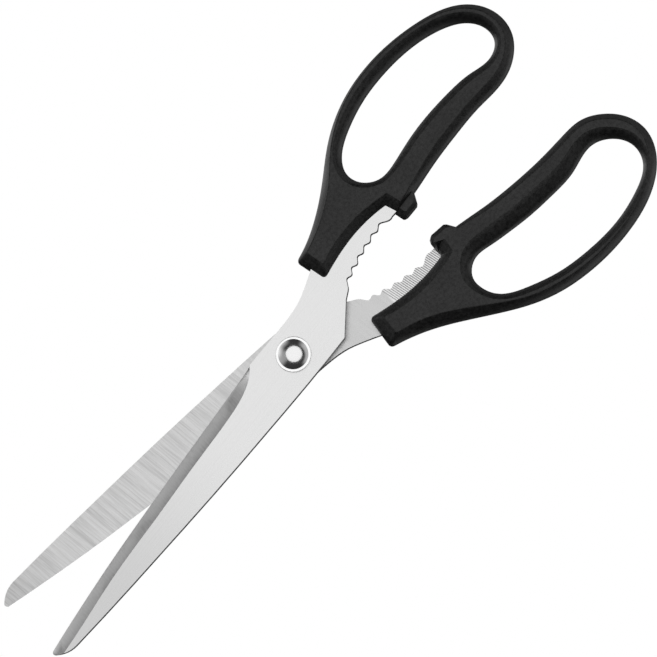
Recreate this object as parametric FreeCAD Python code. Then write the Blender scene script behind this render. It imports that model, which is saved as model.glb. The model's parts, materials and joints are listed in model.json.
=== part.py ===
"""Riveted poultry shears with a toothed jaw, lying flat and partly open.

Frame: the origin is the middle of the rivet's flat tail face, in the plane that the shears rest on.
+Z is up, +X runs from the pivot towards the handles, and +Y is the side of the front handle.
The front half carries the upper blade and the rear half carries the lower one.

Each half is drawn closed and flat first: pivot at x = y = 0, the plane where the blades meet at
z = 0, the handle on the +Y side. The rear half is the same drawing turned over about X.
All lengths are in millimetres and all angles in degrees.
"""

import FreeCAD, Part
import math
import os

from FreeCAD import Vector

# ---------------------------------------------------------------- driving dimensions

HANDLE_THICKNESS = 11.0
MEETING_HEIGHT = HANDLE_THICKNESS / 2  # the blades meet halfway up the handles
OPEN_HALF_ANGLE = 4.75  # each half stands this far from closed in the rest pose

BLADE_THICKNESS = 2.5
BLADE_GAP = 0.06  # running clearance between the two blades
EDGE_LAND = 0.15  # thickness left at the ground cutting edge

SHANK_RADIUS = 2.5
BORE_RADIUS = 2.55  # 0.05 mm of radial clearance on the shank
WASHER_RADIUS = 6.0
WASHER_BORE_RADIUS = 2.6
WASHER_THICKNESS = 0.8
WASHER_EDGE_RADIUS = 0.2
STACK_CLEARANCE = 0.02  # between washer and blade, and between washer and rivet
HEAD_RADIUS = 5.1
HEAD_RIM = 0.35  # height of the straight rim under the dome
HEAD_HEIGHT = 2.05
TAIL_FLAT_RADIUS = 3.0
TAIL_CROWN_RADIUS = 2.6

TANG_HOLE_RADIUS = 2.0  # moulding plastic fills these and locks the handle on
TANG_HOLES = [(44.0, 15.0), (82.0, 10.4)]

SIDE_POWER = 2.3  # how late the handle's sides lean in between the middle and the top
SECTION_SHARES = (-1.0, -0.86, -0.65, -0.35, 0.0, 0.35, 0.65, 0.86, 1.0)
FLARE_START = 0.86  # the finger hole opens out above this share of the half thickness
FLARE_WIDTH = 0.45
HOLE_SECTION_SHARES = (
    -1.0, -0.96, -0.91, -0.86, -0.65, -0.35, 0.0, 0.35, 0.65, 0.86, 0.91, 0.96, 1.0,
)

NECK_CORNER_RADIUS = 1.5
NOTCH_CORNER_RADIUS = 0.5
NOTCH_START = 50.0  # the neck's corners beyond this are the two in the notch
TOP_EDGE_RADIUS = 0.6

BEVEL_OVERRUN = 0.2  # the grinding cut starts this share of its width outside the edge
BEVEL_OVERRISE = 0.02  # and ends this share of its width beyond the outer face

INNER_FACE = BLADE_GAP / 2
OUTER_FACE = INNER_FACE + BLADE_THICKNESS

# ---------------------------------------------------------------- blade outline

CUTTING_EDGE = [
    (-127.2, -0.25), (-110.0, 1.95), (-90.0, 4.0), (-70.0, 5.55),
    (-50.0, 6.9), (-30.0, 8.1), (-12.5, 9.25),
]
NOSE = [(-127.2, -0.25), (-127.85, -1.15), (-127.3, -2.2)]
NOSE_SLOPE = [(-127.3, -2.2), (-124.2, -4.5), (-120.5, -5.5)]
SPINE = [
    (-120.5, -5.5), (-100.0, -6.8), (-75.0, -8.0), (-50.0, -9.0),
    (-25.0, -9.6), (0.0, -9.9), (15.0, -9.7),
]
SHOULDER = [(15.0, -9.7), (24.3, -2.55)]
THROAT = [(24.3, -2.55), (27.0, -0.9), (28.6, 0.1), (29.5, 1.15), (30.2, 2.05)]
TOOTH_VALLEYS = [(30.9, 2.5), (34.7, 3.65), (38.9, 4.5), (43.0, 5.1), (47.3, 5.6), (51.6, 5.85)]
TOOTH_TIPS = [(32.75, 2.05), (36.6, 2.9), (40.8, 3.8), (45.0, 4.35), (49.4, 4.75)]
JAW_SHOULDER = [(53.0, 5.2), (54.0, 4.45), (56.4, 4.0)]
TANG_HEEL = [(61.5, 3.7), (63.2, 5.2), (64.0, 7.4)]
TANG_END = [(90.0, 8.4), (92.1, 10.5), (90.0, 12.6)]
TANG_TOP = [(68.0, 12.2), (57.0, 15.5), (45.0, 19.0), (36.0, 18.0), (25.0, 13.6)]
RICASSO = [(20.0, 11.7), (15.0, 10.1), (8.0, 9.25), (0.0, 9.2), (-6.0, 9.3), (-12.5, 9.25)]

# Fine gripping grooves cross the jaw's inner face. Each one is a shallow V that leans towards the
# handle; its middle lies on y = GROOVE_MIDDLE, and its ends lie outside the steel that shows.
GROOVE_PITCH = 0.75
GROOVE_WIDTH = 0.36
GROOVE_DEPTH = 0.05
GROOVE_OVERCUT = 0.5  # the cutter starts this share of its depth outside the face
GROOVE_LEAN = 15.0
GROOVE_MIDDLE = 5.5
GROOVE_HALF_LENGTH = 4.4
GROOVES_START = 36.8
GROOVES_END = 59.2

# Pairs of points across the ground bevel: on the cutting edge, and where it meets the outer face.
BEVEL = [
    ((-131.0, -0.7), (-131.0, -4.3)),
    ((-120.0, 0.8), (-120.0, -3.45)),
    ((-108.0, 2.2), (-108.0, -2.05)),
    ((-97.0, 3.35), (-97.0, -0.75)),
    ((-85.0, 4.45), (-85.0, 0.15)),
    ((-70.0, 5.55), (-70.0, 0.9)),
    ((-50.0, 6.9), (-50.0, 2.2)),
    ((-30.0, 8.1), (-29.0, 3.35)),
    ((-20.0, 8.75), (-20.5, 4.7)),
    ((-15.0, 9.15), (-15.3, 6.8)),
    ((-11.8, 9.9), (-11.8, 9.6)),
]

# ---------------------------------------------------------------- handle outlines
# A corner is (middle x, middle y, top x, top y). A curve point is (x, y, lean): the outline on
# the parting plane, and how far the top face's outline lies inside it. Each handle's outline is
# drawn clockwise and its finger hole counter-clockwise, so the material is on the right.

NECK = {
    "outer_corner": (24.4, 19.5, 29.2, 18.0),
    "jaw_corner": (25.5, 7.4, 29.6, 11.1),
    "notch_corner": (57.1, 7.6, 61.3, 9.8),
    "arm_corner": (58.0, 3.5, 62.0, 4.4),
    "jaw_wall": [(54.0, 8.25, 3.6), (48.0, 9.1, 3.7), (42.0, 9.3, 3.7), (34.0, 8.7, 3.6)],
}
REAR_NECK_SHIFT = 1.3  # the rear handle starts this much further from the pivot

FRONT_LOOP = [
    (30.0, 20.6, 2.5), (40.0, 24.3, 3.0), (50.0, 29.7, 3.1), (60.0, 35.9, 2.1), (70.0, 40.4, 1.6),
    (80.0, 42.8, 1.5), (90.0, 43.4, 1.5), (100.0, 42.5, 1.5), (110.0, 40.2, 1.6),
    (119.0, 36.8, 1.8), (126.0, 32.0, 2.1), (130.3, 25.6, 2.3), (131.4, 19.0, 2.4),
    (129.4, 12.4, 2.4), (125.0, 7.9, 2.5), (119.0, 5.1, 2.6), (112.0, 4.3, 2.8),
    (103.0, 5.1, 2.6), (92.0, 5.25, 2.5), (80.0, 4.8, 2.3), (68.0, 3.7, 1.4),
]
FRONT_HOLE = [
    (57.8, 24.5, 1.9), (59.3, 19.0, 2.0), (63.5, 15.6, 2.1), (71.0, 15.25, 2.4),
    (80.0, 16.4, 2.7), (90.0, 16.8, 2.8), (100.0, 16.2, 2.8), (110.0, 14.5, 2.7),
    (118.0, 12.65, 2.4), (123.3, 14.9, 2.2), (125.1, 20.0, 2.2), (122.8, 26.4, 2.3),
    (115.0, 32.3, 2.4), (105.0, 35.8, 2.4), (92.0, 37.5, 2.4), (80.0, 37.0, 2.4),
    (70.0, 34.7, 2.3), (62.0, 31.0, 2.0),
]
REAR_LOOP = [
    (31.0, 20.8, 2.9), (40.0, 24.0, 3.5), (50.0, 29.0, 3.4), (60.0, 34.6, 2.6), (70.0, 39.6, 1.9),
    (80.0, 42.9, 1.9), (90.0, 44.3, 1.8), (100.0, 44.3, 1.6), (110.0, 43.0, 1.6),
    (120.0, 40.2, 1.8), (129.2, 35.1, 2.0), (135.3, 28.1, 2.2), (137.3, 20.8, 2.3),
    (135.4, 13.6, 2.4), (130.2, 7.7, 2.5), (123.0, 4.2, 2.6), (115.0, 4.2, 2.8),
    (104.0, 5.15, 2.6), (93.0, 5.35, 2.4), (81.0, 4.8, 2.2), (69.5, 3.6, 1.4),
]
REAR_HOLE = [
    (61.4, 23.0, 2.2), (62.9, 18.0, 2.8), (67.0, 15.5, 3.6), (73.0, 15.7, 4.2),
    (81.0, 16.55, 4.5), (90.0, 17.05, 4.5), (100.0, 16.8, 4.4), (110.0, 15.55, 4.0),
    (120.5, 12.95, 3.4), (127.0, 15.9, 2.6), (130.6, 22.0, 2.3), (129.2, 28.7, 2.3),
    (121.0, 34.5, 2.4), (110.0, 37.85, 2.4), (96.0, 38.85, 2.4), (84.0, 37.75, 2.4),
    (74.0, 34.95, 2.4), (65.0, 30.4, 2.1),
]

# The stop nubs are cut like gems: each level is (z, outline), and the faces between are flat. Every
# outline starts beside the neck and goes round by the pivot side, the closing face and the far end.
FRONT_STOP_CREST = [(60.1, 4.4), (60.35, 1.65), (60.8, 1.25), (64.2, 1.3), (65.0, 1.7), (67.0, 3.6)]
FRONT_STOP_WAIST = [(58.0, 4.6), (59.0, 0.55), (59.5, 0.1), (64.2, 0.1), (65.1, 0.7), (67.1, 3.6)]
FRONT_STOP_MIDDLE = [(57.6, 4.6), (58.0, 0.55), (58.45, 0.1), (64.2, 0.1), (65.1, 0.7), (67.1, 3.6)]
FRONT_STOP = [
    (-2.9, FRONT_STOP_CREST), (-1.9, FRONT_STOP_WAIST), (0.0, FRONT_STOP_MIDDLE),
    (1.9, FRONT_STOP_WAIST), (2.9, FRONT_STOP_CREST),
]
REAR_STOP_CREST = [
    (59.2, 3.8), (58.6, 3.3), (58.9, 2.8), (59.8, 2.4), (64.6, 2.4), (65.6, 2.9), (67.0, 4.4),
]
REAR_STOP_SHOULDER = [
    (58.5, 4.3), (57.9, 2.4), (58.4, 1.3), (59.3, 0.8), (64.6, 0.8), (65.5, 1.5), (67.3, 4.3),
]
REAR_STOP_MIDDLE = [
    (57.1, 6.6), (57.2, 2.3), (57.7, 1.0), (58.7, 0.3), (64.4, 0.3), (65.3, 1.0), (67.4, 4.2),
]
REAR_STOP_FOOT = [
    (59.4, 5.0), (59.6, 3.0), (60.0, 1.9), (60.8, 1.3), (64.2, 1.3), (65.0, 1.8), (66.5, 4.2),
]
REAR_STOP = [
    (-5.5, REAR_STOP_CREST), (-4.4, REAR_STOP_SHOULDER), (0.0, REAR_STOP_MIDDLE),
    (2.9, REAR_STOP_FOOT),
]
STOP_ROOT = [(68.0, 8.0), (63.0, 8.0), (62.2, 5.2)]  # the far corners, buried in the arm

# ---------------------------------------------------------------- curve helpers


def at(point, z):
    return Vector(point[0], point[1], z)


def spline(points):
    curve = Part.BSplineCurve()
    curve.interpolate(Points=points)
    return curve.toShape()


def loop_spline(points):
    curve = Part.BSplineCurve()
    curve.interpolate(Points=points, PeriodicFlag=True)
    return curve.toShape()


def flat_spline(points):
    return spline([at(point, 0) for point in points])


def flat_line(start, end):
    return Part.makeLine(at(start, 0), at(end, 0))


def leaned(first, points, last, share):
    """Points moved to the right of their curve by share of each point's lean.

    The right is square to the line between a point's two neighbours; first and last are the
    neighbours of the two end points.
    """
    around = [first] + list(points) + [last]
    moved = []
    for before, here, after in zip(around, points, around[2:]):
        along = Vector(after[0] - before[0], after[1] - before[1], 0).normalize()
        right = Vector(along.y, -along.x, 0)
        moved.append(Vector(here[0], here[1], 0) + right * (here[2] * share))
    return moved


def raised(points, z):
    return [Vector(point.x, point.y, z) for point in points]


# ---------------------------------------------------------------- blades


def tooth_row():
    """Valleys and tips of the jaw in turn, from the pivot end to the handle end."""
    row = []
    for valley, tip in zip(TOOTH_VALLEYS, TOOTH_TIPS):
        row += [valley, tip]
    return row + [TOOTH_VALLEYS[-1]]


def blade_profile():
    teeth = [THROAT[-1]] + tooth_row() + JAW_SHOULDER
    edges = [
        flat_spline(CUTTING_EDGE),
        flat_spline(NOSE),
        flat_spline(NOSE_SLOPE),
        flat_spline(SPINE),
        flat_line(*SHOULDER),
        flat_spline(THROAT),
        flat_spline(teeth),
        flat_line(JAW_SHOULDER[-1], TANG_HEEL[0]),
        flat_spline(TANG_HEEL),
        flat_line(TANG_HEEL[-1], TANG_END[0]),
        Part.Arc(*[at(point, 0) for point in TANG_END]).toShape(),
        flat_line(TANG_END[-1], TANG_TOP[0]),
        flat_spline(TANG_TOP + RICASSO),
    ]
    return Part.Wire(Part.__sortEdges__(edges))


def bevel_cutter():
    """The metal that the grinding wheel takes off above the sloping bevel."""
    low, high = [], []
    for edge, top in BEVEL:
        start = at(edge, INNER_FACE + EDGE_LAND)
        end = at(top, OUTER_FACE)
        low.append(start + (start - end) * BEVEL_OVERRUN)
        high.append(end + (end - start) * BEVEL_OVERRISE)
    slope = Part.makeRuledSurface(spline(low), spline(high))
    return slope.extrude(Vector(0, 0, 2 * BLADE_THICKNESS))


def groove(x):
    """A V-shaped cutter across the inner face of the jaw."""
    valley = Vector(0, 0, GROOVE_DEPTH)
    mouth = Vector(GROOVE_WIDTH / 2, 0, 0) * (1 + GROOVE_OVERCUT)
    corners = [valley * -GROOVE_OVERCUT - mouth, valley * -GROOVE_OVERCUT + mouth, valley]
    cutter = Part.Face(Part.makePolygon(corners + [corners[0]]))
    cutter = cutter.extrude(Vector(0, 2 * GROOVE_HALF_LENGTH, 0))
    cutter.translate(Vector(0, -GROOVE_HALF_LENGTH, 0))
    cutter.rotate(Vector(0, 0, 0), Vector(0, 0, 1), -GROOVE_LEAN)
    cutter.translate(Vector(x, GROOVE_MIDDLE, INNER_FACE))
    return cutter


def grooved(steel):
    count = int((GROOVES_END - GROOVES_START) / GROOVE_PITCH) + 1
    return steel.cut([groove(GROOVES_START + i * GROOVE_PITCH) for i in range(count)])


def drill(point, radius):
    """A cylinder that passes through the whole thickness of a blade."""
    return Part.makeCylinder(radius, 4 * BLADE_THICKNESS, at(point, -BLADE_THICKNESS))


def blade():
    body = Part.Face(blade_profile()).extrude(Vector(0, 0, BLADE_THICKNESS))
    body.translate(Vector(0, 0, INNER_FACE))
    drills = [drill((0, 0), BORE_RADIUS)]
    drills += [drill(hole, TANG_HOLE_RADIUS) for hole in TANG_HOLES]
    return body.cut([bevel_cutter()] + drills)


# ---------------------------------------------------------------- handles


def neck_corner(name, shift, share):
    x, y, top_x, top_y = NECK[name]
    return Vector(x + shift + (top_x - x) * share, y + (top_y - y) * share, 0)


def outer_section(loop, shift, level):
    """The handle's outline at a level from -1 (underside) to 1 (top face)."""
    share = abs(level) ** SIDE_POWER
    z = level * HANDLE_THICKNESS / 2
    outer = neck_corner("outer_corner", shift, share)
    jaw = neck_corner("jaw_corner", shift, share)
    notch = neck_corner("notch_corner", shift, share)
    arm = neck_corner("arm_corner", shift, share)
    wall = [(x + shift, y, lean) for x, y, lean in NECK["jaw_wall"]]
    edges = [
        spline(raised([outer] + leaned(outer, loop, arm, share) + [arm], z)),
        Part.makeLine(at(arm, z), at(notch, z)),
        spline(raised([notch] + leaned(notch, wall, jaw, share) + [jaw], z)),
        Part.makeLine(at(jaw, z), at(outer, z)),
    ]
    return Part.Wire(edges)


def hole_section(hole, level):
    share = abs(level) ** SIDE_POWER
    flare = FLARE_WIDTH * (max(0.0, abs(level) - FLARE_START) / (1 - FLARE_START)) ** 2
    # the hole is drawn counter-clockwise, so its right is its outside, and it grows that way
    flared = [(x, y, lean * share + flare) for x, y, lean in hole]
    grown = leaned(flared[-1], flared, flared[0], 1.0)
    return Part.Wire([loop_spline(raised(grown, level * HANDLE_THICKNESS / 2))])


def stop_nub(levels, shift):
    """The block that meets its twin on the other handle when the shears close."""
    outlines = []
    for z, outline in levels:
        corners = [Vector(x + shift, y, z) for x, y in outline + STOP_ROOT]
        outlines.append(Part.makePolygon(corners + [corners[0]]))
    return Part.makeLoft(outlines, True, True)


def upright_edges(body, x_low, x_high):
    """The corner edges from the underside to the top face whose middles lie between two x."""
    tall = [edge for edge in body.Edges if edge.BoundBox.ZLength > HANDLE_THICKNESS - 1]
    return [edge for edge in tall if x_low < edge.CenterOfMass.x <= x_high]


def flat_face_rims(body):
    """The edges that lie in the top face or the underside."""
    half = HANDLE_THICKNESS / 2
    rims = []
    for edge in body.Edges:
        box = edge.BoundBox
        on_a_face = abs(box.ZMin - half) < 0.001 or abs(box.ZMax + half) < 0.001
        if on_a_face:
            rims.append(edge)
    return rims


def handle(loop, hole, stop, shift, steel):
    body = Part.makeLoft([outer_section(loop, shift, s) for s in SECTION_SHARES], True, False)
    body = body.makeFillet(NOTCH_CORNER_RADIUS, upright_edges(body, NOTCH_START, math.inf))
    body = body.makeFillet(NECK_CORNER_RADIUS, upright_edges(body, -math.inf, NOTCH_START))
    body = body.makeFillet(TOP_EDGE_RADIUS, flat_face_rims(body))
    opening = Part.makeLoft([hole_section(hole, s) for s in HOLE_SECTION_SHARES], True, False)
    body = body.cut(opening)
    body = body.fuse(stop_nub(stop, shift))
    return body.cut(steel.copy())


# ---------------------------------------------------------------- rivet and washers


def washer():
    bottom = OUTER_FACE + STACK_CLEARANCE
    top = bottom + WASHER_THICKNESS
    ring = Part.makeCylinder(WASHER_RADIUS, WASHER_THICKNESS, Vector(0, 0, bottom))
    upper_rim = [edge for edge in ring.Edges if abs(edge.CenterOfMass.z - top) < 0.001]
    ring = ring.makeFillet(WASHER_EDGE_RADIUS, upper_rim)
    return ring.cut(Part.makeCylinder(WASHER_BORE_RADIUS, 2 * top))


def button(height, flat_radius, crown_radius):
    """A rivet end of the head's radius standing on z = 0, turned about Z.

    A short straight rim carries a crown of the given radius, up to a flat of flat_radius.
    """
    rim = Vector(HEAD_RADIUS, 0, HEAD_RIM)
    crown = Vector(flat_radius, 0, height)
    chord = crown - rim
    rise = crown_radius - math.sqrt(crown_radius ** 2 - (chord.Length / 2) ** 2)
    middle = (rim + crown) * 0.5 + Vector(chord.z, 0, -chord.x).normalize() * rise
    lines = [
        Part.makeLine(Vector(0, 0, 0), Vector(HEAD_RADIUS, 0, 0)),
        Part.makeLine(Vector(HEAD_RADIUS, 0, 0), rim),
        Part.Arc(rim, middle, crown).toShape(),
    ]
    if flat_radius > 0:
        lines.append(Part.makeLine(crown, Vector(0, 0, height)))
    lines.append(Part.makeLine(Vector(0, 0, height), Vector(0, 0, 0)))
    return Part.Face(Part.Wire(lines)).revolve(Vector(0, 0, 0), Vector(0, 0, 1), 360)


def rivet():
    seat = OUTER_FACE + WASHER_THICKNESS + 2 * STACK_CLEARANCE
    shank = Part.makeCylinder(SHANK_RADIUS, 2 * seat, Vector(0, 0, -seat))
    dome_height = HEAD_HEIGHT - HEAD_RIM
    dome_radius = (HEAD_RADIUS ** 2 + dome_height ** 2) / (2 * dome_height)
    head = button(HEAD_HEIGHT, 0.0, dome_radius)
    head.translate(Vector(0, 0, seat))
    tail = button(MEETING_HEIGHT - seat, TAIL_FLAT_RADIUS, TAIL_CROWN_RADIUS)
    tail.rotate(Vector(0, 0, 0), Vector(1, 0, 0), 180)
    tail.translate(Vector(0, 0, -seat))
    return shank.fuse([head, tail])


# ---------------------------------------------------------------- placing the halves


def turned_over(shape):
    """The same piece turned over about X, for the rear half."""
    shape = shape.copy()
    shape.rotate(Vector(0, 0, 0), Vector(1, 0, 0), 180)
    return shape


def placed(shape, angle):
    shape = shape.copy()
    shape.rotate(Vector(0, 0, 0), Vector(0, 0, 1), angle)
    shape.translate(Vector(0, 0, MEETING_HEIGHT))
    return shape


def build():
    steel = blade()
    jaw_steel = grooved(steel)
    ring = washer()
    return {
        "front_blade": placed(jaw_steel, OPEN_HALF_ANGLE),
        "front_handle": placed(
            handle(FRONT_LOOP, FRONT_HOLE, FRONT_STOP, 0.0, steel), OPEN_HALF_ANGLE
        ),
        "rear_blade": placed(turned_over(jaw_steel), -OPEN_HALF_ANGLE),
        "rear_handle": placed(
            turned_over(handle(REAR_LOOP, REAR_HOLE, REAR_STOP, REAR_NECK_SHIFT, steel)),
            -OPEN_HALF_ANGLE,
        ),
        "pivot_rivet": placed(rivet(), 0.0),
        "front_washer": placed(ring, 0.0),
        "rear_washer": placed(turned_over(ring), 0.0),
    }


os.makedirs("parts", exist_ok=True)
for name, shape in build().items():
    shape.Solids[0].exportStep("parts/" + name + ".step")
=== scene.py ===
"""Studio picture of the poultry shears: finishes, floor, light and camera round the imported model.

Lengths are in metres, in the model's own frame: +Z is up, +X runs from the pivot towards the
handles and +Y towards the front handle. The shears lie on the plane z = 0.
"""

import json
import math

import bpy
from mathutils import Matrix, Vector


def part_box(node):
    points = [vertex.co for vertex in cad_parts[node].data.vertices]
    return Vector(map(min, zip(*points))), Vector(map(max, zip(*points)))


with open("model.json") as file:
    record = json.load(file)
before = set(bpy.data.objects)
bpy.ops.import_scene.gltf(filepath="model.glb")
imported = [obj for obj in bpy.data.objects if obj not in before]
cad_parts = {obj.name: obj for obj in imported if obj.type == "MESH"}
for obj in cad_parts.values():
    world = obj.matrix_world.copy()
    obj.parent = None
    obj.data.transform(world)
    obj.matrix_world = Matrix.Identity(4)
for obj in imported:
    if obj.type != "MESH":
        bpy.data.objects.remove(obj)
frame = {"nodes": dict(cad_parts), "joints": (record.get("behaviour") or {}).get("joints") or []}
bpy.context.view_layer.update()

MM = 0.001

# ---------------------------------------------------------------- places taken from the model

HINGE = frame["joints"][0]
PIVOT = Vector(HINGE["pos_m"])
HALF_OPEN = math.radians(-HINGE["range_deg"][0]) / 2  # each blade stands this far from closed
MOULD_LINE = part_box("front_handle")[1].z / 2  # how high it runs
BLADE_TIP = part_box("front_blade")[0].x

# ---------------------------------------------------------------- view

CAMERA_TILT = math.radians(11.0)  # from straight down, towards -Y
CAMERA_ROLL = math.radians(46.0)  # the handles point up and to the right
CAMERA_DISTANCE = 1.6
FRAME_WIDTH = 219 * MM  # what the picture spans at the pivot
PIVOT_LEFT_OF_MIDDLE = 11.25 * MM
PIVOT_BELOW_MIDDLE = 9.01 * MM
SENSOR_WIDTH = 36.0  # in millimetres, as the camera's own settings are
CLIP_NEAR, CLIP_FAR = 0.05, 50.0


def camera_axes():
    """The camera's right, up and backward directions."""
    backward = Vector((0, -math.sin(CAMERA_TILT), math.cos(CAMERA_TILT)))
    level_up = Vector((0, math.cos(CAMERA_TILT), math.sin(CAMERA_TILT)))
    level_right = Vector((1, 0, 0))
    right = math.cos(CAMERA_ROLL) * level_right - math.sin(CAMERA_ROLL) * level_up
    up = math.sin(CAMERA_ROLL) * level_right + math.cos(CAMERA_ROLL) * level_up
    return right, up, backward


def facing(right, up, backward, place):
    """A matrix at place whose own -Z looks against the backward direction."""
    turn = Matrix((right, up, backward)).transposed().to_4x4()
    return Matrix.Translation(place) @ turn


def add_camera():
    right, up, backward = camera_axes()
    data = bpy.data.cameras.new("camera")
    data.sensor_width = SENSOR_WIDTH
    data.lens = SENSOR_WIDTH * CAMERA_DISTANCE / FRAME_WIDTH
    data.clip_start = CLIP_NEAR
    data.clip_end = CLIP_FAR
    camera = bpy.data.objects.new("camera", data)
    bpy.context.scene.collection.objects.link(camera)
    target = PIVOT + right * PIVOT_LEFT_OF_MIDDLE + up * PIVOT_BELOW_MIDDLE
    camera.matrix_world = facing(right, up, backward, target + backward * CAMERA_DISTANCE)
    bpy.context.scene.camera = camera


# ---------------------------------------------------------------- node helpers

NOISE_SPREAD = (0.3, 0.7)  # nearly all of a noise's values lie between these


class Nodes:
    """The node tree of a material or world, with short calls for the kinds of node used here."""

    def __init__(self, owner):
        owner.use_nodes = True
        self.owner = owner
        self.tree = owner.node_tree
        self.tree.nodes.clear()

    def node(self, kind, inputs=None, **settings):
        made = self.tree.nodes.new("ShaderNode" + kind)
        for key, value in settings.items():
            setattr(made, key, value)
        for key, value in (inputs or {}).items():
            self.feed(made.inputs[key], value)
        return made

    def feed(self, socket, value):
        if isinstance(value, bpy.types.NodeSocket):
            self.tree.links.new(value, socket)
        else:
            socket.default_value = value

    def math(self, operation, *values):
        made = self.node("Math", operation=operation)
        for socket, value in zip(made.inputs, values):
            self.feed(socket, value)
        return made.outputs[0]

    def vector_math(self, operation, first, second):
        return self.node("VectorMath", {0: first, 1: second}, operation=operation).outputs

    def between(self, value, low, high, at_low=0.0, at_high=1.0):
        """A smooth step from at_low to at_high as value goes from low to high."""
        limits = {"Value": value, "From Min": low, "From Max": high}
        limits.update({"To Min": at_low, "To Max": at_high})
        return self.node("MapRange", limits, interpolation_type="SMOOTHSTEP").outputs[0]

    def blend(self, share, first, second):
        """Plain numbers mixed by share: first at 0, second at 1."""
        return self.node("Mix", {0: share, 2: first, 3: second}).outputs[0]

    def varied(self, middle, grain, depth):
        """middle, lowered or raised by up to half of depth as grain goes from 0 to 1."""
        ripple = self.math("MULTIPLY", self.math("SUBTRACT", grain, 0.5), depth)
        return self.math("ADD", middle, ripple)

    def vector(self, x=0.0, y=0.0, z=0.0):
        return self.node("CombineXYZ", {"X": x, "Y": y, "Z": z}).outputs[0]

    def parts(self, vector):
        return self.node("SeparateXYZ", {"Vector": vector}).outputs

    def place(self):
        """The point in the model's frame; it stays with the piece when the shears open."""
        return self.node("TexCoord").outputs["Object"]

    def turned(self, vector, angle):
        made = self.node("VectorRotate", {"Vector": vector, "Angle": angle}, rotation_type="Z_AXIS")
        return made.outputs[0]

    def stretched(self, vector, x, y, z):
        return self.vector_math("MULTIPLY", vector, (x, y, z))[0]

    def noise(self, vector, detail=2.0, roughness=0.5, scale=1.0):
        inputs = {"Vector": vector, "Scale": scale, "Detail": detail, "Roughness": roughness}
        return self.node("TexNoise", inputs).outputs["Fac"]

    def streaks(self, vector, across, along, detail=3.0):
        """Scratches that run along local X: across and along are their width and length."""
        cells = self.stretched(vector, 1 / along, 1 / across, 1 / along)
        return self.between(self.noise(cells, detail=detail, roughness=0.6), *NOISE_SPREAD)

    def grey(self, value):
        return self.node("CombineColor", {"Red": value, "Green": value, "Blue": value}).outputs[0]

    def bump(self, height, distance, strength):
        inputs = {"Height": height, "Distance": distance, "Strength": strength}
        return self.node("Bump", inputs).outputs[0]

    def surface(self, **inputs):
        """Ends the tree with a surface that takes these inputs, and gives back the material."""
        inputs = {key.replace("_", " "): value for key, value in inputs.items()}
        shader = self.node("BsdfPrincipled", inputs).outputs[0]
        self.node("OutputMaterial", {"Surface": shader})
        return self.owner


# ---------------------------------------------------------------- blade steel

# How level a surface is (its normal's own height, 1 when flat) tells the parts of a blade apart.
# In each pair the first level is still outside that part and the second is fully inside it.
FLAT_LEVEL = (0.975, 0.985)
EDGE_LEVEL = (0.55, 0.45)
GROOVE_LEVEL_LOW = (0.93, 0.94)  # the jaw's grooves lie between the ground bevel ...
GROOVE_LEVEL_HIGH = (0.98, 0.97)  # ... and the flats

# Places along a blade: x from the pivot, towards the handles.
JAW_START = 28 * MM  # behind this, the side walls are painted a darker shade
GROOVES_START = 36.5 * MM  # from here the lands between the jaw's grooves are made lighter

# A tone is the share of light sent back. Four numbers are: from x, to x, tone at the first and
# tone at the second.
# Painted shade: the satin, bevel and inner faces darken towards the tip.
SATIN_SHADED_TONE = (-105 * MM, -30 * MM, 0.665, 0.82)
BEVEL_SHADED_TONE = (BLADE_TIP, -60 * MM, 0.60, 0.68)
INNER_SHADED_TONE = (BLADE_TIP, BLADE_TIP * 0.75, 0.60, 0.70)
# Painted shade in the jaw's grooves, deepening towards the handles.
GROOVE_SHADED_TONE = (GROOVES_START, GROOVES_START + 8 * MM, 0.64, 0.48)
LAND_TONE = 0.92
LAND_BLUR = 0.5 * MM
# Painted shade on the thin side walls, darker still on the jaw.
EDGE_SHADED_TONE = 0.24
JAW_EDGE_SHADED_TONE = 0.14

# The grain's depth is how much it changes the tone.
SATIN_DEPTH = 0.24
BEVEL_DEPTH = 0.20
INNER_DEPTH = (-20 * MM, 10 * MM, 0.60, 0.25)  # from x, to x, depth at each

INNER_GRIND_LEAN = math.radians(10.0)  # the grinding lines lean this far off square
BEVEL_GRIND_LEAN = math.radians(6.0)
MOTTLE_CELLS = (700, 900, 900)  # per metre
MOTTLE_SHARE = 0.5
WIDE_BAND_SHARE = 0.35

SATIN_ROUGHNESS = 0.34
GROUND_ROUGHNESS = 0.42
ROUGHNESS_DEPTH = 0.2
BRUSHING = 0.55  # how far the highlight is drawn out
STEEL_RELIEF = 0.004 * MM
STEEL_RELIEF_STRENGTH = 0.6


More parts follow.
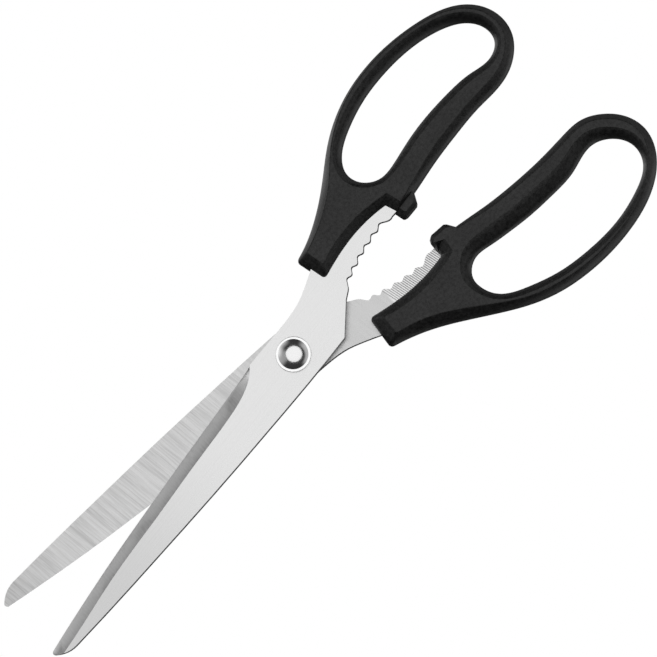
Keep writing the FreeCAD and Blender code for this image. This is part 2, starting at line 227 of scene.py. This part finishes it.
def blade_finish(name, turn, outer_side):
    """Stainless steel: satin outside, cross-ground inside and on the bevel; painted shade on edges,
    grooves, tip.

    turn is the blade's own direction about Z, and outer_side is 1 when its outside faces up.
    """
    n = Nodes(bpy.data.materials.new(name))
    along = n.turned(n.place(), -turn)
    x = n.parts(along)[0]

    normal_z = n.parts(n.node("NewGeometry").outputs["True Normal"])[2]
    level = n.math("ABSOLUTE", normal_z)
    is_flat = n.between(level, *FLAT_LEVEL)
    is_shaded_edge = n.between(level, *EDGE_LEVEL)
    past_bevel = n.between(level, *GROOVE_LEVEL_LOW)
    is_shaded_groove = n.math("MULTIPLY", past_bevel, n.between(level, *GROOVE_LEVEL_HIGH))
    is_outside = n.math("GREATER_THAN", n.math("MULTIPLY", normal_z, outer_side), 0.0)
    is_satin = n.math("MULTIPLY", is_flat, is_outside)
    is_inner = n.math("MULTIPLY", is_flat, n.math("SUBTRACT", 1.0, is_outside))
    is_jaw = n.math("GREATER_THAN", x, JAW_START)

    satin_lines = n.streaks(along, across=0.5 * MM, along=25 * MM)
    square = n.turned(along, math.radians(90) + outer_side * INNER_GRIND_LEAN)
    inner_lines = n.streaks(square, across=0.7 * MM, along=14 * MM, detail=4.0)
    wide_bands = n.streaks(square, across=2.5 * MM, along=60 * MM, detail=1.0)
    bevel_square = n.turned(along, math.radians(90) + outer_side * BEVEL_GRIND_LEAN)
    bevel_lines = n.streaks(bevel_square, across=0.7 * MM, along=8 * MM, detail=4.0)
    mottle = n.noise(n.stretched(along, *MOTTLE_CELLS), detail=3.0)
    satin_grain = n.blend(MOTTLE_SHARE, satin_lines, mottle)
    inner_grain = n.blend(WIDE_BAND_SHARE, inner_lines, wide_bands)
    grain = n.blend(is_inner, n.blend(is_satin, bevel_lines, satin_grain), inner_grain)

    # Painted shade: the inner, bevel and satin faces darken towards the tip.
    inner_shaded_tone = n.between(x, *INNER_SHADED_TONE)
    # The lands between the jaw's grooves are made lighter.
    lands = (GROOVES_START - LAND_BLUR, GROOVES_START + LAND_BLUR)
    inner_shaded_tone = n.between(x, *lands, inner_shaded_tone, LAND_TONE)
    tone = n.blend(is_satin, n.between(x, *BEVEL_SHADED_TONE), n.between(x, *SATIN_SHADED_TONE))
    tone = n.blend(is_inner, tone, inner_shaded_tone)
    # Painted shade on the thin side walls, darker on the jaw.
    tone = n.blend(is_shaded_edge, tone, n.blend(is_jaw, EDGE_SHADED_TONE, JAW_EDGE_SHADED_TONE))
    # Painted shade in the jaw's grooves, deepening towards the handles.
    tone = n.blend(is_shaded_groove, tone, n.between(x, *GROOVE_SHADED_TONE))

    depth = n.blend(is_satin, BEVEL_DEPTH, SATIN_DEPTH)
    depth = n.blend(is_inner, depth, n.between(x, *INNER_DEPTH))
    colour = n.grey(n.math("MULTIPLY", tone, n.varied(1.0, grain, depth)))
    roughness = n.blend(is_satin, GROUND_ROUGHNESS, SATIN_ROUGHNESS)

    # The highlight is drawn out square to the lines: across the blade on the satin faces, and
    # along it on the ground ones.
    highlight_turn = n.math("MULTIPLY", is_satin, math.radians(90))
    highlight = n.turned(n.turned((1, 0, 0), highlight_turn), turn)
    tangent = n.node(
        "VectorTransform", {"Vector": highlight},
        vector_type="VECTOR", convert_from="OBJECT", convert_to="WORLD",
    ).outputs[0]
    return n.surface(
        Base_Color=colour, Metallic=1.0, Roughness=n.varied(roughness, grain, ROUGHNESS_DEPTH),
        Anisotropic=BRUSHING, Tangent=tangent,
        Normal=n.bump(grain, STEEL_RELIEF, STEEL_RELIEF_STRENGTH),
    )


# ---------------------------------------------------------------- rivet and washers

RING_WIDTH = 0.12 * MM
SMEAR_CELLS = (300, 300, 300)  # per metre
POLISH_WEAR = 0.12
POLISH_RELIEF = 0.0015 * MM
POLISH_RELIEF_STRENGTH = 0.4


def polished_finish(name, tone, roughness):
    """Polished steel with the fine circular marks of the buffing wheel."""
    n = Nodes(bpy.data.materials.new(name))
    place = n.place()
    x, y, _ = n.parts(place)
    reach = n.math("SQRT", n.math("ADD", n.math("MULTIPLY", x, x), n.math("MULTIPLY", y, y)))
    rings = n.noise(n.vector(x=n.math("MULTIPLY", reach, 1 / RING_WIDTH)), detail=3.0)
    smear = n.noise(n.stretched(place, *SMEAR_CELLS), detail=3.0)
    marks = n.blend(0.5, rings, smear)
    return n.surface(
        Base_Color=n.grey(n.varied(tone, marks, POLISH_WEAR)), Metallic=1.0,
        Roughness=n.varied(roughness, marks, POLISH_WEAR),
        Normal=n.bump(marks, POLISH_RELIEF, POLISH_RELIEF_STRENGTH),
    )


# ---------------------------------------------------------------- handle plastic

FINE_GRAIN = 0.28 * MM
COARSE_GRAIN = 1.1 * MM
PATCH_CELLS = (90, 90, 90)  # per metre
PATCH_SPREAD = (0.35, 0.65)
MOULD_LINE_EDGE = (0.1 * MM, 0.02 * MM)  # from the line: where it begins, where it is full
MOULD_LINE_RELIEF = 0.8  # against the grain's own
PLASTIC_TONE = (0.005, 0.022)  # in the grain's pits, on its tops
PLASTIC_SHEEN = (0.32, 0.57)  # likewise
PLASTIC_ROUGHNESS = (0.38, 0.46)  # where the hand has worn it smooth, where it has not
GRAIN_ROUGHNESS = 0.15  # how far the grain changes that
PLASTIC_IOR = 1.46
PLASTIC_RELIEF = 0.02 * MM
PLASTIC_RELIEF_STRENGTH = 0.8


def plastic_finish(name):
    """Black moulded plastic with a fine spark-eroded grain and a faint mould line."""
    n = Nodes(bpy.data.materials.new(name))
    place = n.place()
    fine = n.noise(place, detail=3.0, scale=1 / FINE_GRAIN)
    coarse = n.noise(place, detail=2.0, scale=1 / COARSE_GRAIN)
    grain = n.between(n.blend(0.5, fine, coarse), *NOISE_SPREAD)
    patches = n.noise(n.stretched(place, *PATCH_CELLS), detail=3.0)
    unworn = n.between(patches, *PATCH_SPREAD)
    off_line = n.math("ABSOLUTE", n.math("SUBTRACT", n.parts(place)[2], MOULD_LINE))
    line = n.between(off_line, *MOULD_LINE_EDGE)
    height = n.math("ADD", grain, n.math("MULTIPLY", line, MOULD_LINE_RELIEF))
    roughness = n.blend(unworn, *PLASTIC_ROUGHNESS)
    return n.surface(
        Base_Color=n.grey(n.blend(grain, *PLASTIC_TONE)),
        Roughness=n.varied(roughness, grain, GRAIN_ROUGHNESS),
        IOR=PLASTIC_IOR, Specular_IOR_Level=n.blend(grain, *PLASTIC_SHEEN),
        Normal=n.bump(height, PLASTIC_RELIEF, PLASTIC_RELIEF_STRENGTH),
    )


# ---------------------------------------------------------------- dressing the pieces

EDGE_BREAK = 0.05 * MM
EDGE_ANGLE = math.radians(30.0)  # sharper bends than this are broken
WELD_REACH = 0.001 * MM


def soften_edges(node):
    """Breaks the sharp edges of a steel piece, so that they catch the light."""
    weld = node.modifiers.new("weld", "WELD")
    weld.merge_threshold = WELD_REACH
    bevel = node.modifiers.new("edge_break", "BEVEL")
    bevel.width = EDGE_BREAK
    bevel.segments = 2
    bevel.limit_method = "ANGLE"
    bevel.angle_limit = EDGE_ANGLE
    bevel.harden_normals = True
    bevel.use_clamp_overlap = True


def dress(name, material):
    for slot in frame["nodes"][name].material_slots:
        slot.material = material


# ---------------------------------------------------------------- studio

KEY_HEIGHT = 1.0
KEY_HALF_ANGLE = math.radians(37.0)
KEY_LEAN, KEY_TURN = 6.0, 108.0  # degrees, as overhead() takes them
KEY_RADIANCE = 1.0

FLOOR_REACH = 20.0
FLOOR_DROP = 0.1 * MM

# What the shears see round them. Heights are sines: 1 straight up, 0 level, -1 straight down.
STUDIO_DARK = 0.035  # radiance of all that is not lit
FLOOR_GLOW = 0.07  # radiance of the floor right under the shears
FLOOR_GLOW_HEIGHTS = (-0.4, -0.8)  # where the glow begins and where it is full
SCREEN_TOP_BLUR = 0.06
SCREEN_BOTTOM_BLUR = 0.12
# Each row: its turn, half its width and the softness of its sides in degrees, the heights of its
# top and bottom, and its radiance at the top and at the bottom.
SCREENS = (
    (184, 24, 18, 0.78, 0.0, 0.30, 0.45),
    (150, 26, 16, 0.50, 0.0, 0.16, 0.70),
    (12, 48, 20, 0.64, 0.0, 0.42, 0.76),
)
LIT_FLOOR = (
    (158, 22, 11, 0.0, -1.00, 0.40, 0.50),
    (168, 12, 9, -0.08, -0.85, 1.40, 0.60),
    (64, 78, 12, 0.0, -0.95, 0.34, 0.02),
    (334, 42, 14, -0.10, -0.82, 0.05, 0.72),
)

# The picture's right and up, laid flat.
LEVEL_RIGHT = Vector((math.cos(CAMERA_ROLL), -math.sin(CAMERA_ROLL), 0))
LEVEL_UP = Vector((math.sin(CAMERA_ROLL), math.cos(CAMERA_ROLL), 0))


def overhead(lean, turn):
    """A direction lean degrees from straight up, turn degrees round from the picture's right."""
    lean, turn = math.radians(lean), math.radians(turn)
    sideways = LEVEL_RIGHT * math.cos(turn) + LEVEL_UP * math.sin(turn)
    return Vector((0, 0, math.cos(lean))) + sideways * math.sin(lean)


def add_key_light():
    """A round softbox almost straight above the pivot."""
    radius = KEY_HEIGHT * math.tan(KEY_HALF_ANGLE)
    data = bpy.data.lights.new("key_box", "AREA")
    data.shape = "DISK"
    data.size = 2 * radius
    data.energy = KEY_RADIANCE * math.pi * (math.pi * radius ** 2)  # watts from the whole disc
    light = bpy.data.objects.new("key_box", data)
    bpy.context.scene.collection.objects.link(light)
    backward = overhead(KEY_LEAN, KEY_TURN)
    sideways = LEVEL_UP.cross(backward).normalized()
    up = backward.cross(sideways)
    light.matrix_world = facing(sideways, up, backward, PIVOT + backward * KEY_HEIGHT)
    light.visible_camera = False


def add_floor():
    """A pale card, seen by the camera only; its glow on the shears is part of the world."""
    n = Nodes(bpy.data.materials.new("pale_floor"))
    white = n.node("Emission", {"Color": (1, 1, 1, 1), "Strength": 1.0}).outputs[0]
    n.node("OutputMaterial", {"Surface": white})
    mesh = bpy.data.meshes.new("floor")
    corners = [(-FLOOR_REACH, -FLOOR_REACH, 0), (FLOOR_REACH, -FLOOR_REACH, 0)]
    corners += [(FLOOR_REACH, FLOOR_REACH, 0), (-FLOOR_REACH, FLOOR_REACH, 0)]
    mesh.from_pydata(corners, [], [(0, 1, 2, 3)])
    mesh.materials.append(n.owner)
    floor = bpy.data.objects.new("floor", mesh)
    floor.location.z = -FLOOR_DROP
    floor.visible_glossy = False
    floor.visible_diffuse = False
    bpy.context.scene.collection.objects.link(floor)


def screen_glow(n, direction, row):
    """What one screen or lit patch of floor sends back along direction."""
    turn, half_width, softness, top, bottom, top_radiance, bottom_radiance = row
    z = n.parts(direction)[2]
    level_share = n.math("SQRT", n.math("SUBTRACT", 1.0, n.math("MULTIPLY", z, z)))
    along_middle = n.vector_math("DOT_PRODUCT", direction, overhead(90, turn))["Value"]
    cosine = n.math("DIVIDE", along_middle, level_share)
    outer, inner = math.radians(half_width + softness), math.radians(half_width - softness)
    in_width = n.between(cosine, math.cos(outer), math.cos(inner))
    under_top = n.between(z, top + SCREEN_TOP_BLUR, top - SCREEN_TOP_BLUR)
    over_bottom = n.between(z, bottom - SCREEN_BOTTOM_BLUR, bottom + SCREEN_BOTTOM_BLUR)
    shape = n.math("MULTIPLY", n.math("MULTIPLY", in_width, under_top), over_bottom)
    return n.math("MULTIPLY", shape, n.between(z, top, bottom, top_radiance, bottom_radiance))


def add_world():
    """A dark studio with pale screens at the picture's sides and their light on the floor.

    The camera itself sees plain white all round.
    """
    world = bpy.data.worlds.new("studio")
    n = Nodes(world)
    direction = n.node("TexCoord").outputs["Generated"]
    glow = n.between(n.parts(direction)[2], *FLOOR_GLOW_HEIGHTS, STUDIO_DARK, FLOOR_GLOW)
    for row in SCREENS + LIT_FLOOR:
        glow = n.math("ADD", glow, screen_glow(n, direction, row))
    is_camera = n.node("LightPath").outputs["Is Camera Ray"]
    strength = n.blend(is_camera, glow, 1.0)
    background = n.node("Background", {"Color": (1, 1, 1, 1), "Strength": strength}).outputs[0]
    n.node("OutputWorld", {"Surface": background})
    bpy.context.scene.world = world


# ---------------------------------------------------------------- put together

dress("front_blade", blade_finish("satin_steel_front", turn=HALF_OPEN, outer_side=1))
dress("rear_blade", blade_finish("satin_steel_rear", turn=-HALF_OPEN, outer_side=-1))
dress("pivot_rivet", polished_finish("polished_rivet", tone=0.85, roughness=0.15))
for washer in ("front_washer", "rear_washer"):
    dress(washer, polished_finish("polished_" + washer, tone=0.96, roughness=0.14))
for handle in ("front_handle", "rear_handle"):
    dress(handle, plastic_finish("black_plastic_" + handle))

for blade in ("front_blade", "rear_blade"):
    soften_edges(frame["nodes"][blade])

add_floor()
add_world()
add_key_light()
add_camera()
bpy.context.scene.view_settings.view_transform = "Standard"

bpy.context.view_layer.update()
